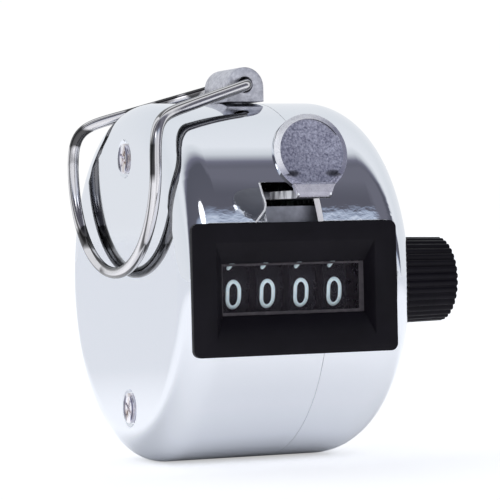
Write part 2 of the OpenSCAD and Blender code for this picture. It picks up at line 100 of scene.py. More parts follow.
class Nodes:
    """Short calls that build up a tree of shader nodes."""

    def __init__(self, tree, coord="Object"):
        self.tree = tree
        self.coord = self.node("ShaderNodeTexCoord").outputs[coord]

    def node(self, kind, **values):
        n = self.tree.nodes.new(kind)
        for k, v in values.items():
            if k in n.inputs:
                n.inputs[k].default_value = v
            else:
                setattr(n, k, v)
        return n

    def link(self, a, b):
        self.tree.links.new(a, b)

    def split(self, vector=None):
        """The X, Y and Z parts of a vector, or of the place on the surface."""
        n = self.node("ShaderNodeSeparateXYZ")
        self.link(self.coord if vector is None else vector, n.inputs[0])
        return n.outputs["X"], n.outputs["Y"], n.outputs["Z"]

    def seen(self):
        """One where the camera looks straight at the surface, and nought in mirrors."""
        return self.node("ShaderNodeLightPath").outputs["Is Camera Ray"]

    def math(self, operation, a, b=0.0):
        m = self.node("ShaderNodeMath", operation=operation)
        for socket, value in zip(m.inputs, (a, b)):
            if isinstance(value, (int, float)):
                socket.default_value = value
            else:
                self.link(value, socket)
        return m.outputs[0]

    def product(self, first, *others):
        for value in others:
            first = self.math("MULTIPLY", first, value)
        return first

    def length(self, a, b):
        """How long the vector with parts a and b is."""
        return self.math("SQRT", self.math("ADD", self.product(a, a), self.product(b, b)))

    def turned(self, side, y):
        """The angle from the front, which is -Y, round to the side direction, in degrees."""
        angle = self.math("ARCTAN2", side, self.product(y, -1))
        return self.product(angle, 180 / math.pi)

    def steps(self, value, low, high, stops):
        """A grey level or color that follows given stops as value goes from low to high."""
        r = self.node("ShaderNodeValToRGB")
        set_stops(r.color_ramp, low, high, stops)
        self.link(self.ramp(value, 0, 1, (low, high)), r.inputs[0])
        return r.outputs["Color"]

    def mix(self, factor, a, b, blend="MIX"):
        """A mix of two colors, each a tuple or a socket."""
        mix = self.node("ShaderNodeMix", data_type="RGBA", blend_type=blend)
        for socket, value in zip((mix.inputs[0], mix.inputs[6], mix.inputs[7]), (factor, a, b)):
            if isinstance(value, (int, float)):
                socket.default_value = value
            elif isinstance(value, tuple):
                socket.default_value = (*value, 1)
            else:
                self.link(value, socket)
        return mix.outputs[2]

    def times(self, color, factor):
        return self.mix(1, color, factor, "MULTIPLY")

    def ramp(self, value, low, high, at=(0.35, 0.65)):
        """Goes from low to high as value goes from at[0] to at[1], and stays there outside."""
        r = self.node("ShaderNodeMapRange")
        r.inputs["From Min"].default_value = at[0]
        r.inputs["From Max"].default_value = at[1]
        r.inputs["To Min"].default_value = low
        r.inputs["To Max"].default_value = high
        self.link(value, r.inputs["Value"])
        return r.outputs["Result"]


class Shader(Nodes):
    """A principled material and short calls that add procedural detail to it.

    The color and roughness given here stay only where no pattern takes their place.
    """

    def __init__(self, name, color, rough, metallic=0.0, spec=0.5):
        self.mat = bpy.data.materials.new(name)
        self.mat.use_nodes = True
        super().__init__(self.mat.node_tree)
        self.bsdf = self.tree.nodes["Principled BSDF"]
        self.bsdf.inputs["Base Color"].default_value = (*color, 1)
        self.bsdf.inputs["Roughness"].default_value = rough
        self.bsdf.inputs["Metallic"].default_value = metallic
        self.bsdf.inputs["Specular IOR Level"].default_value = spec
        self.normal = None

    def color(self, value):
        self.link(value, self.bsdf.inputs["Base Color"])

    def stretched(self, scale):
        m = self.node("ShaderNodeMapping")
        m.inputs["Scale"].default_value = scale
        self.link(self.coord, m.inputs["Vector"])
        return m.outputs["Vector"]

    def noise(self, scale, detail=3.0, stretch=(1, 1, 1), rough=0.55):
        """Noise with about scale bumps per millimetre."""
        n = self.node("ShaderNodeTexNoise", Scale=scale * 1000, Detail=detail, Roughness=rough)
        self.link(self.stretched(stretch), n.inputs["Vector"])
        return n.outputs["Fac"]

    def rough(self, value, low, high, at=(0.35, 0.65)):
        self.link(self.ramp(value, low, high, at), self.bsdf.inputs["Roughness"])

    def tint(self, value, dark, light, at=(0.35, 0.65)):
        """Colors the surface from dark to light as value rises, and gives that color back."""
        mixed = self.mix(self.ramp(value, 0, 1, at), dark, light)
        self.color(mixed)
        return mixed

    def bump(self, height, depth_mm, strength=1.0):
        b = self.node("ShaderNodeBump", Strength=strength, Distance=depth_mm * MM)
        self.link(height, b.inputs["Height"])
        if self.normal is not None:
            self.link(self.normal, b.inputs["Normal"])
        self.normal = b.outputs["Normal"]
        self.link(self.normal, self.bsdf.inputs["Normal"])

    def round_edges(self, radius_mm):
        """Softens sharp edges by a hair, so they catch the light."""
        b = self.node("ShaderNodeBevel", samples=4, Radius=radius_mm * MM)
        self.normal = b.outputs["Normal"]
        self.link(self.normal, self.bsdf.inputs["Normal"])


def chrome_plate():
    s = Shader("chrome_plate", (0.80, 0.82, 0.86), 0.05, 1.0)
    s.round_edges(0.12)
    s.rough(s.noise(0.12, 4), 0.03, 0.07)
    s.bump(s.noise(0.06, 2), 0.004, 0.6)
    # the sheet is a little uneven where it was pressed in just above the window frame
    x, y, z = s.split()
    band = s.product(s.ramp(z, 0, 1, (7.0 * MM, 8.2 * MM)), s.ramp(z, 1, 0, (9.2 * MM, 10.8 * MM)),
                     s.ramp(x, 0, 1, (-15 * MM, -12 * MM)), s.ramp(x, 1, 0, (12 * MM, 15 * MM)),
                     s.ramp(y, 1, 0, (-21.5 * MM, -19 * MM)))
    s.bump(s.product(s.noise(0.7, 3, (1, 1, 1.6)), band), 0.05)
    return s.mat


# painted reflection: how bright the wire is painted against the azimuth it mirrors, in degrees
WIRE_PAINTED_REFLECTION = [
    (-180, 0.15), (-170, 0.18), (-162, 0.9), (-130, 0.95), (-118, 0.2), (-104, 0.12),
    (-92, 0.8), (-20, 1.0), (-8, 0.9), (2, 0.45), (12, 0.9), (60, 1.0),
    (98, 0.95), (108, 0.12), (124, 0.08), (136, 0.85), (148, 0.8), (158, 0.12),
]


def polished_wire():
    """Bright wire whose colour carries painted reflections of the dark gaps between the lamps of a studio."""
    s = Shader("polished_wire", (0.8, 0.79, 0.79), 0.1, 1.0)
    s.rough(s.noise(0.5, 4), 0.1, 0.18)
    s.bump(s.noise(0.8, 2), 0.002, 0.5)
    mirrored_x, mirrored_y, _ = s.split(s.node("ShaderNodeTexCoord").outputs["Reflection"])
    azimuth = s.turned(mirrored_x, mirrored_y)
    gaps = s.steps(azimuth, -180, 180, WIRE_PAINTED_REFLECTION)
    # painted reflection: the wire's colour is also made darker where it is seen in mirrors
    level = s.times(gaps, s.steps(s.seen(), 0, 1, [(0, 0.3), (1, 1)]))
    # the back half of the loop also gets painted dark reflections of the dark things behind the case
    _, y, z = s.split()
    behind = s.ramp(y, 0, 1, (0, 3 * MM))
    painted_dark_patch = s.product(s.ramp(s.noise(0.22, 1), 1, 0, (0.44, 0.5)), behind)
    level = s.times(level, s.steps(painted_dark_patch, 0, 1, [(0, 1), (1, 0.12)]))
    # and so does the left side of the front strand: a painted dark reflection for a short way below its bend
    strand = s.product(s.ramp(y, 1, 0, (-11 * MM, -8 * MM)), s.ramp(z, 0, 1, (13.5 * MM, 14.8 * MM)),
                       s.ramp(z, 1, 0, (18.6 * MM, 20 * MM)), s.ramp(azimuth, 1, 0, (-46, -20)))
    level = s.times(level, s.steps(strand, 0, 1, [(0, 1), (1, 0.08)]))
    s.color(s.times(level, (0.82, 0.80, 0.81)))
    return s.mat


def bright_screw():
    """A polished screw head: bright and warm in the middle, with dark, sickle-shaped painted reflections towards
    its rim.
    """
    s = Shader("bright_screw", (0.8, 0.79, 0.79), 0.12, 1.0)
    s.rough(s.noise(0.8, 4), 0.1, 0.2)
    grain = s.tint(s.noise(0.5, 2), (0.62, 0.55, 0.52), (0.90, 0.88, 0.92), (0.42, 0.55))
    _, y, z = s.split()
    across = s.math("SUBTRACT", y, SCREW.y * MM)
    up = s.math("SUBTRACT", s.math("ABSOLUTE", z), SCREW.z * MM)
    far = s.math("DIVIDE", s.length(across, up), MM)
    side = s.math("ABSOLUTE", s.math("DIVIDE", across, MM))
    # painted reflection: dark towards the rim on either side of the middle
    painted_crescent = s.product(s.ramp(far, 0, 1, (1.15, 1.5)), s.ramp(far, 1, 0.2, (1.85, 2.05)),
                         s.ramp(side, 0, 1, (0.6, 1.1)))
    shade = s.steps(painted_crescent, 0, 1, [(0, (1, 1, 1)), (0.5, (0.3, 0.3, 0.4)), (1, (0.10, 0.10, 0.17))])
    s.color(s.times(grain, shade))
    s.bump(s.noise(1.1, 2), 0.03)
    return s.mat


def satin_edge(name, glow):
    """A sheared edge of the sheet metal, with a painted glow of its own at the lever's slot."""
    s = Shader(name, (0.9, 0.9, 0.92), 0.5, 0.45)
    s.bsdf.inputs["Emission Color"].default_value = (0.95, 0.94, 1.0, 1)
    # painted glow: the edge gives off light from the drum's middle height up to the slot's top
    _, _, z = s.split()
    below_top = s.ramp(z, glow, 0, (SLOT_TOP * MM, (SLOT_TOP + 0.2) * MM))
    lit = s.product(s.ramp(z, 0, 1, (0, MM)), below_top)
    s.link(lit, s.bsdf.inputs["Emission Strength"])
    s.rough(s.noise(1.5, 3), 0.45, 0.6)
    s.tint(s.noise(0.9, 3, (1, 1, 0.1)), (0.86, 0.86, 0.88), (0.97, 0.97, 0.98))
    return s.mat


def rim_painted_light():
    """The pad's rounded rim, with a painted highlight on the side of the lamp, painted shade on the other side,
    and painted shade towards its foot.
    """
    s = Shader("rim_painted_light", (0.8, 0.8, 0.82), 0.3, 0.2)
    grain = s.tint(s.noise(1.0, 3), (0.90, 0.90, 0.93), (0.99, 0.98, 0.99))
    x, _, z = s.split()
    # painted highlight towards the upper left, painted shade towards the lower right
    left = s.math("SUBTRACT", PAD.x * MM, x)
    up = s.math("SUBTRACT", z, PAD.z * MM)
    lit = s.math("DIVIDE", s.math("ADD", left, up), 7.4 * MM)
    side = s.steps(lit, -1, 1, [(-1, (0.3, 0.3, 0.38)), (-0.1, (0.34, 0.34, 0.42)),
                                (0.35, (0.8, 0.8, 0.84)), (0.6, (1, 1, 1))])
    # painted shade towards the pad's foot
    low = s.steps(s.math("DIVIDE", up, MM), -5, 0, [(-3.6, (0.42, 0.42, 0.52)), (-1.2, (1, 1, 1))])
    s.color(s.times(s.times(grain, side), low))
    s.rough(s.noise(0.9, 3), 0.22, 0.36)
    return s.mat


def foot_painted_shade():
    """The bend under the pad, chrome darkened with painted shade so it looks duller than its rim."""
    # painted shade: the chrome's colour is darkened here
    s = Shader("foot_painted_shade", (0.5, 0.5, 0.56), 0.3, 1.0)
    s.tint(s.noise(1.1, 4), (0.39, 0.38, 0.44), (0.47, 0.46, 0.52))
    s.rough(s.noise(0.9, 3), 0.2, 0.34)
    s.bump(s.noise(1.4, 3), 0.01)
    return s.mat


def mottled_flank():
    """The side of the lever's strip: polished in blotches."""
    s = Shader("mottled_flank", (0.8, 0.8, 0.82), 0.4, 0.3)
    s.tint(s.noise(0.55, 2, (1, 1, 0.3)), (0.25, 0.25, 0.27), (1.0, 1.0, 1.0), (0.42, 0.56))
    s.rough(s.noise(0.9, 3), 0.3, 0.5)
    return s.mat


def frosted_rim():
    """The matt border moulded round the window."""
    s = Shader("frosted_rim", (0.05, 0.042, 0.05), 0.6, 0.0, 0.3)
    s.tint(s.noise(1.2, 4), (0.035, 0.03, 0.036), (0.06, 0.052, 0.06))
    s.bump(s.noise(3, 3), 0.004)
    return s.mat


def plain_steel():
    s = Shader("plain_steel", (0.55, 0.55, 0.56), 0.3, 1.0)
    s.round_edges(0.08)
    s.rough(s.noise(0.8, 4), 0.22, 0.42)
    s.bump(s.noise(2.5, 3, (1, 0.1, 1)), 0.004)
    return s.mat


# near-black metal that stands for the shade behind the window: painted shade
def shade_black_metal():
    s = Shader("shade_black_metal", (0.014, 0.014, 0.017), 0.5, 0.2, 0.2)
    s.rough(s.noise(0.8, 4), 0.42, 0.6)
    s.tint(s.noise(1.4, 3), (0.010, 0.010, 0.012), (0.022, 0.022, 0.026))
    return s.mat


def dull_sheet():
    s = Shader("dull_sheet", (0.4, 0.41, 0.48), 0.45, 0.5)
    s.round_edges(0.08)
    s.tint(s.noise(0.9, 3), (0.34, 0.35, 0.41), (0.44, 0.45, 0.52))
    s.rough(s.noise(0.6, 4), 0.38, 0.55)
    s.bump(s.noise(2.0, 4), 0.006)
    return s.mat


def dark_back():
    """Metal darkened with painted shade, for the faces that point down or away, which see only the dark gap."""
    s = Shader("dark_back", (0.16, 0.16, 0.18), 0.4, 1.0)
    s.round_edges(0.08)
    s.rough(s.noise(0.6, 4), 0.34, 0.5)
    return s.mat


def zinc_casting():
    s = Shader("zinc_casting", (0.6, 0.6, 0.64), 0.42, 1.0)
    s.round_edges(0.2)
    s.rough(s.noise(1.2, 5), 0.34, 0.52)
    s.tint(s.noise(2.2, 4), (0.48, 0.48, 0.53), (0.68, 0.68, 0.73))
    s.bump(s.noise(2.6, 4), 0.018)
    return s.mat


def blasted_dish():
    """Sandblasted metal, with painted shade in two spots on both sides at the foot of the dish."""
    s = Shader("blasted_dish", (0.25, 0.25, 0.30), 0.5, 1.0)
    grain = s.tint(s.noise(3.0, 4, rough=0.7), (0.17, 0.17, 0.24), (0.52, 0.52, 0.63))
    # each spot of painted shade is an ellipse: its place beside and below the pad's middle, and its half sizes
    beside, below, half_width, half_height = 3.0, 2.7, 1.1, 0.42
    x, _, z = s.split()
    across = s.math("ABSOLUTE", s.math("SUBTRACT", x, PAD.x * MM))
    across = s.math("DIVIDE", s.math("SUBTRACT", across, beside * MM), half_width * MM)
    above = s.math("DIVIDE", s.math("SUBTRACT", z, (PAD.z - below) * MM), half_height * MM)
    far = s.math("ADD", s.product(across, across), s.product(above, above))
    s.color(s.times(grain, s.steps(far, 0, 2, [(0, 0.16), (0.5, 0.3), (1.6, 1.0)])))
    s.rough(s.noise(2.0, 4), 0.42, 0.62)
    s.bump(s.noise(2.6, 4, rough=0.6), 0.05)
    return s.mat


def black_moulding(name, color, rough, spec, grain):
    s = Shader(name, color, rough, 0.0, spec)
    s.round_edges(0.15)
    s.tint(s.noise(0.2, 4), tuple(c * 0.85 for c in color), tuple(c * 1.2 for c in color))
    s.rough(s.noise(0.5, 4), rough * 0.85, rough * 1.2)
    s.bump(s.noise(grain, 4), 0.006)
    return s.mat


def printed_white():
    s = Shader("printed_white", (0.8, 0.95, 1.0), 0.55, 0.0, 0.3)
    ink = s.tint(s.noise(2.5, 4), (0.72, 0.88, 0.95), (0.84, 0.97, 1.0))
    # painted glow: the print gives off a faint light of its own
    s.link(ink, s.bsdf.inputs["Emission Color"])
    s.bsdf.inputs["Emission Strength"].default_value = 0.1
    s.bump(s.noise(4, 3), 0.004)
    return s.mat


def clear_window():
    """Clear plastic: mostly see-through, with a faint reflection and fine scratches."""
    s = Shader("clear_window", (0.9, 0.95, 1.0), 0.05)
    clear = s.node("ShaderNodeBsdfTransparent")
    gloss = s.node("ShaderNodeBsdfGlossy", Roughness=0.04)
    weight = s.node("ShaderNodeFresnel", IOR=1.12)
    mix = s.node("ShaderNodeMixShader")
    s.link(weight.outputs[0], mix.inputs[0])
    s.link(clear.outputs[0], mix.inputs[1])
    s.link(gloss.outputs[0], mix.inputs[2])
    b = s.node("ShaderNodeBump", Strength=0.1, Distance=0.002 * MM)
    s.link(s.noise(1.5, 2, (0.1, 1, 1)), b.inputs["Height"])
    s.link(b.outputs["Normal"], gloss.inputs["Normal"])
    haze = s.node("ShaderNodeBsdfDiffuse", Color=(0.9, 0.75, 1.0, 1))
    hazed = s.node("ShaderNodeMixShader")
    hazed.inputs[0].default_value = 0.008
    s.link(mix.outputs[0], hazed.inputs[1])
    s.link(haze.outputs[0], hazed.inputs[2])
    s.link(hazed.outputs[0], s.tree.nodes["Material Output"].inputs["Surface"])
    return s.mat


def brass_metal():
    s = Shader("brass_metal", (0.62, 0.45, 0.18), 0.28, 1.0)
    s.round_edges(0.06)
    s.tint(s.noise(0.6, 4), (0.50, 0.35, 0.14), (0.68, 0.51, 0.22))
    s.rough(s.noise(1, 4), 0.22, 0.38)
    return s.mat


def nylon_moulding():
    s = Shader("nylon_moulding", (0.78, 0.77, 0.70), 0.5, 0.0, 0.4)
    s.tint(s.noise(0.6, 3), (0.70, 0.69, 0.62), (0.80, 0.79, 0.73))
    s.bump(s.noise(2, 3), 0.008)
    return s.mat


MATS = {
    "chrome": chrome_plate(),
    "ring_wire": polished_wire(),
    "steel": plain_steel(),
    "screw": bright_screw(),
    # both edges carry a painted glow, the slot's lip a fainter one
    "bright_edge": satin_edge("bright_edge", 0.45),
    "lip": satin_edge("slot_lip", 0.08),
    "flank": mottled_flank(),
    "pad_rim": rim_painted_light(),
    "foot": foot_painted_shade(),
    "window_rim": frosted_rim(),
    "shield": dull_sheet(),
    "painted_shade_black": shade_black_metal(),
    "zinc": zinc_casting(),
    "dish": blasted_dish(),
    "back": dark_back(),
    "black_plastic": black_moulding("black_frame", (0.006, 0.005, 0.008), 0.4, 0.1, 1.5),
    "wheel_plastic": black_moulding("black_wheel", (0.005, 0.005, 0.007), 0.5, 0.1, 2.0),
    "white": printed_white(),
    "clear": clear_window(),
    "brass": brass_metal(),
    "nylon": nylon_moulding(),
}


def dress(obj, key):
    """Gives an object one finish."""
    obj.data.materials.clear()
    obj.data.materials.append(MATS[key])


for sub in frame["record"]["subparts"]:
    dress(NODES[sub["node"]], sub["material_slot"])
# the pawl and its pin and spring stand behind the window's right end; they are painted near black as painted shade
for name in ("drive_pawl", "pawl_pin", "pawl_spring"):
    dress(NODES[name], "painted_shade_black")


# ---------------------------------------------------------------- mesh helpers

def add_piece(name, mesh, key, body):
    """An object with one finish that rides on a body."""
    obj = bpy.data.objects.new(name, mesh)
    bpy.context.scene.collection.objects.link(obj)
    dress(obj, key)
    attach(obj, body)
    return obj


def make_piece(name, verts, faces, key, body, smooth=True):
    """A piece from points in millimetres, in the CAD's frame."""
    mesh = bpy.data.meshes.new(name)
    mesh.from_pydata([tuple(c * MM for c in v) for v in verts], [], faces)
    mesh.validate()
    mesh.update()
    for p in mesh.polygons:
        p.use_smooth = smooth
    return add_piece(name, mesh, key, body)


def tube(path, radius, sides, up):
    """Vertices and faces of a round wire along a path, with closed ends."""
    pts = [Vector(p) for p in path]
    up = Vector(up)
    verts, faces = [], []
    last = len(pts) - 1
    for i, p in enumerate(pts):
        t = (pts[min(i + 1, last)] - pts[max(i - 1, 0)]).normalized()
        u = t.cross(up).normalized()
        v = t.cross(u)
        for k in range(sides):
            a = 2 * math.pi * k / sides
            verts.append(p + radius * (math.cos(a) * u + math.sin(a) * v))
    for i in range(last):
        for k in range(sides):
            a, b = i * sides + k, i * sides + (k + 1) % sides
            faces.append((a, a + sides, b + sides, b))
    faces.append(tuple(range(sides)))
    faces.append(tuple(last * sides + sides - 1 - k for k in range(sides)))
    return verts, faces


def curve(a, b, c, d, n):
    """Points of a cubic curve from a to d, without its last point."""
    out = []
    for i in range(n):
        t = i / n
        s = 1 - t
        out.append(s * s * s * a + 3 * s * s * t * b + 3 * s * t * t * c + t * t * t * d)
    return out


def soften(node, body, width_mm, key, segments=2, reshape=None):
    """A copy of a CAD node with its sharp edges rounded off, shown in its place."""
    sharp = math.radians(32)
    flat = math.radians(0.5)
    bm = bmesh.new()
    bm.from_mesh(NODES[node].data)
    if reshape:
        for v in bm.verts:
            v.co = reshape(v.co / MM) * MM
    bmesh.ops.remove_doubles(bm, verts=bm.verts, dist=0.001 * MM)
    bmesh.ops.dissolve_limit(bm, angle_limit=flat, verts=bm.verts, edges=bm.edges)
    edges = [e for e in bm.edges if e.is_manifold and e.calc_face_angle(0) > sharp]
    bmesh.ops.bevel(bm, geom=edges, offset=width_mm * MM, offset_type="OFFSET", segments=segments,
                    profile=0.5, affect="EDGES", clamp_overlap=True)
    for e in bm.edges:
        e.smooth = not (e.is_manifold and e.calc_face_angle(0) > sharp)
    for f in bm.faces:
        f.smooth = True
    mesh = bpy.data.meshes.new(node + "_soft")
    bm.to_mesh(mesh)
    bm.free()
    obj = add_piece(node + "_soft", mesh, key, body)
    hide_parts(node)
    return obj


# ---------------------------------------------------------------- casing, knob and lever

KNOB_LOW, KNOB_HIGH = (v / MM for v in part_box("reset_knob"))


def taper_knob(p):
    """Gives the moulded knob its slight draft towards the front."""
    along = (p.x - KNOB_LOW.x) / (KNOB_HIGH.x - KNOB_LOW.x)
    scale = 1 - KNOB_DRAFT * along
    y, z = (KNOB_LOW.y + KNOB_HIGH.y) / 2, (KNOB_LOW.z + KNOB_HIGH.z) / 2
    return Vector((p.x, y + scale * (p.y - y), z + scale * (p.z - z)))


soften("window_frame", "case", 0.22, "black_plastic")
soften("reset_knob", "knob", 0.07, "black_plastic", 1, taper_knob)
soften("casing_screws", "case", 0.14, "screw")
soften("ring_lug", "case", 0.22, "zinc")


def on_pad(p):
    """How far a point is out of the thumb pad's plane, up it, and from its middle."""
    from_middle = p - PAD
    out = from_middle.dot(PAD_NORMAL)
    return out, from_middle.dot(PAD_UP), (from_middle - out * PAD_NORMAL).length


def slope_rim(p):
    """Lets the rim of the thumb pad fall away towards its outer edge."""
    out, _, far = on_pad(p)
    return p - 0.32 * PAD_NORMAL if out > 0.5 and far > 5.0 else p


def recolor(obj, key, test):
    """Gives the faces that pass a test another finish."""
    obj.data.materials.append(MATS[key])
    index = len(obj.data.materials) - 1
    for f in obj.data.polygons:
        if test(f.center / MM, f.normal):
            f.material_index = index


def in_dish(p, n):
    """The sandblasted floor of the thumb pad."""
    out, _, far = on_pad(p)
    return n.dot(PAD_NORMAL) > 0.9 and 0.1 < out < 0.4 and far < 4.6


def on_rim(p, n):
    """The rim of the thumb pad, down to where the foot joins it."""
    out, up, far = on_pad(p)
    return n.dot(PAD_NORMAL) > 0.3 and out > 0 and up > -4.6 and PAD_RIM < far < 5.4


def on_low_rim(p, n):
    """The flat of the rim near the foot, which is blasted like the floor."""
    out, up, far = on_pad(p)
    return n.dot(PAD_NORMAL) > 0.85 and out > 0.3 and up < -2.9 and PAD_RIM < far < 5.15


def in_shade(p, n):
    """The lever's faces that point down, back, or forward inside the slot, which get painted shade."""
    return n.z < -0.5 or n.y > 0.7 or (n.y < -0.7 and p.y > -21 and p.z < 12.3)


lever = soften("thumb_lever", "lever", 0.2, "chrome", 3, slope_rim)
# painted shade on the lever's faces that point down, back or into the slot
recolor(lever, "back", in_shade)
recolor(lever, "flank", lambda p, n: n.x < -0.7 and p.z < 13)
recolor(lever, "pad_rim", on_rim)
recolor(lever, "dish", in_dish)
recolor(lever, "dish", on_low_rim)


def pad_foot():
    """The smooth turn from the pad down to the strip that carries it."""
    top = PAD - 4.1 * PAD_UP + 0.63 * PAD_NORMAL
    side = [(top.y, top.z), (-29.42, 12.6), (-29.36, 11.9), (-29.24, 11.5), (-28.95, 11.17),
            (-28.5, 11.06), (-28.5, 13.1)]
    n = len(side)
    # the foot is as wide as the pad where they meet, and narrows to the strip
    half = [2.3 + 0.85 * min(1, max(0, z - 12.0)) for _, z in side]
    verts = [(PAD.x + sign * h, y, z) for sign in (-1, 1) for h, (y, z) in zip(half, side)]
    faces = [tuple(range(n - 1, -1, -1)), tuple(range(n, 2 * n))]
    faces += [(k, (k + 1) % n, n + (k + 1) % n, n + k) for k in range(n)]
    foot = make_piece("pad_foot", verts, faces, "foot", "lever", smooth=False)
    edge = foot.modifiers.new("edge", "BEVEL")
    edge.width = 0.3 * MM
    edge.segments = 3


pad_foot()
# the side cover's edge at the seam also gets the painted glow
recolor(NODES["side_cover"], "bright_edge", lambda p, n: n.x < -0.9 and abs(p.x - SEAM_X) < 0.1)


def slot_lip():
    """The rolled lip on the left of the lever's slot, which flares out at its foot."""
    bead = 0.13
    turns = [Vector(p) for p in ((-5.55, 13.3), (-5.5, 11.9), (-5.38, 10.6), (-5.66, 9.75),
                                 (-6.2, 9.15), (-6.9, 8.45), (-7.3, 8.05))]
    path = []
    for i in range(len(turns) - 1):
        before = turns[max(i - 1, 0)]
        after = turns[min(i + 2, len(turns) - 1)]
        a, d = turns[i], turns[i + 1]
        path += curve(a, a + (d - before) / 6, d - (after - a) / 6, d, 5)
    path.append(turns[-1])
    on_drum = [(x, -math.sqrt(DRUM_R * DRUM_R - z * z), z) for x, z in path]
    verts, faces = tube(on_drum, bead, 10, (1, 0, 0))
    make_piece("slot_lip", verts, faces, "lip", "case")


slot_lip()


def shorten_spring():
    """The return spring with its edges rounded off, in a mesh of its own."""
    spring = soften("return_spring", "case", 0.03, "steel", 1)
    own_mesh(spring)


shorten_spring()


def window_rim():
    """The frosted border of the window's raised front."""
    low, _ = (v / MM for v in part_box("window_lens"))
    x0, x1, z0, z1 = -11.75, 8.95, -4.2, 2.65            # edges of the raised front
    left, right, bottom, top = 0.12, 0.7, 0.42, 0.3      # widths of the border
    behind, proud = 0.1, 0.04
    outer = ((x0, z0), (x1, z0), (x1, z1), (x0, z1))
    inner = ((x0 + left, z0 + bottom), (x1 - right, z0 + bottom),
             (x1 - right, z1 - top), (x0 + left, z1 - top))
    verts = [(x, y, z) for y in (low.y + behind, low.y - proud) for ring in (outer, inner)
             for x, z in ring]
    faces = []
    for k in range(4):
        j = (k + 1) % 4
        faces += [(k, j, 4 + j, 4 + k), (8 + k, 12 + k, 12 + j, 8 + j),
                  (k, 8 + k, 8 + j, j), (4 + k, 4 + j, 12 + j, 12 + k)]
    make_piece("window_rim", verts, faces, "window_rim", "case", smooth=False)


window_rim()


# ---------------------------------------------------------------- finger ring

def ring_path():
    """Centre line of the ring: out of the lug's eye, along one strand, round the loop and back."""
    pin = Vector(JOINTS["ring_swing"]["pos_m"]) / MM
    eye = 5.4                                # half the width of the bends beside the lug
    loop = Vector((-18.8, -0.65, 16.2))      # middle of the loop
    loop_r, loop_h = 16.7, 14.7              # the loop's half width, and its depth below its middle
    bends = []
    for sign, out_y in ((-1, -16.8), (1, 13.9)):
        corner = Vector((pin.x, sign * eye, pin.z))
        tip = Vector((-20.2, out_y, 21.7))
        bends.append((corner, (tip - corner).normalized(), Vector((0, -sign, 0))))
    (b0, a0, in0), (b1, a1, in1) = bends
    front = Vector((loop.x, loop.y - loop_r, loop.z))
    back = Vector((loop.x, loop.y + loop_r, loop.z))
    pull = 6.5 * Vector((0, 0, 1))           # upwards, so the strands meet the loop smoothly
    # each end starts inside the eye, turns at the corner and runs straight before it curves
    path = [b0 + 3.8 * in0]
    path += curve(b0 + 1.5 * in0, b0 + 0.3 * in0, b0 + 0.3 * a0, b0 + 1.5 * a0, 16)
    path += curve(b0 + 1.5 * a0, b0 + 5 * a0, b0 + 9 * a0, b0 + 13 * a0, 6)
    path += curve(b0 + 13 * a0, b0 + 20 * a0, front + pull, front, 40)
    turns = 80
    for i in range(turns):
        t = math.pi * i / turns
        path.append(Vector((loop.x, loop.y - loop_r * math.cos(t), loop.z - loop_h * math.sin(t))))
    path += curve(back, back + pull, b1 + 20 * a1, b1 + 13 * a1, 40)
    path += curve(b1 + 13 * a1, b1 + 9 * a1, b1 + 5 * a1, b1 + 1.5 * a1, 6)
    path += curve(b1 + 1.5 * a1, b1 + 0.3 * a1, b1 + 0.3 * in1, b1 + 1.5 * in1, 16)
    path += [b1 + 1.5 * in1, b1 + 3.8 * in1]
    return path


WIRE_R = 0.8
ring_verts, ring_faces = tube(ring_path(), WIRE_R, 28, (0.35, 0, 1))
ring = make_piece("ring_wire", ring_verts, ring_faces, "ring_wire", "ring")
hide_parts("finger_ring")


# ---------------------------------------------------------------- digits

def arc(cx, cy, rx, ry, a0, a1, n):
    """Points along part of an ellipse, from angle a0 to a1 in degrees."""
    return [(cx + rx * math.cos(math.radians(a0 + (a1 - a0) * i / n)),
             cy + ry * math.sin(math.radians(a0 + (a1 - a0) * i / n))) for i in range(n + 1)]


def digit_strokes():
    """Centre lines of the digits, in millimetres."""
    h, w = 1.74, 0.85      # half the height and half the width between centre lines
    return {
        0: [arc(0, h - 1.25, w, 1.25, 0, 180, 20) + arc(0, 1.25 - h, w, 1.25, 180, 360, 20)
            + [(w, h - 1.25)]],
        1: [[(-0.55, 1.15), (0.1, h), (0.1, -h)]],
        2: [arc(0, 0.95, w, 0.9, 165, -30, 18) + [(-w, -h), (w, -h)]],
        3: [arc(-0.05, 0.95, w, 0.9, 150, -80, 18), arc(-0.05, -0.88, w, 0.97, 85, -150, 20)],
        4: [[(0.5, -h), (0.5, h), (-w, -0.7), (w + 0.05, -0.7)]],
        5: [[(0.8, h), (-0.7, h), (-0.8, 0.25)] + arc(0, -0.75, w, 1.1, 130, -150, 20)],
        6: [arc(0, -0.9, w, 0.95, 90, 450, 28), [(-w, -0.9), (-0.6, 0.6), (0.35, h)]],
        7: [[(-w, h), (w, h), (0.1, 0.2), (-0.25, -h)]],
        8: [arc(0, 0.95, 0.78, 0.88, 90, 450, 26), arc(0, -0.88, w, 0.95, 90, 450, 28)],
        9: [arc(0, 0.8, w, 0.94, 90, 450, 28), [(w, 0.8), (0.5, -0.75), (-0.55, -0.06 - h)]],
    }


def fine(points, step=0.3):
    """The same line, with no stretch longer than step."""
    out = [Vector(points[0])]
    for a, b in zip(points, points[1:]):
        a, b = Vector(a), Vector(b)
        n = max(1, math.ceil((b - a).length / step))
        out += [a.lerp(b, (i + 1) / n) for i in range(n)]
    return out


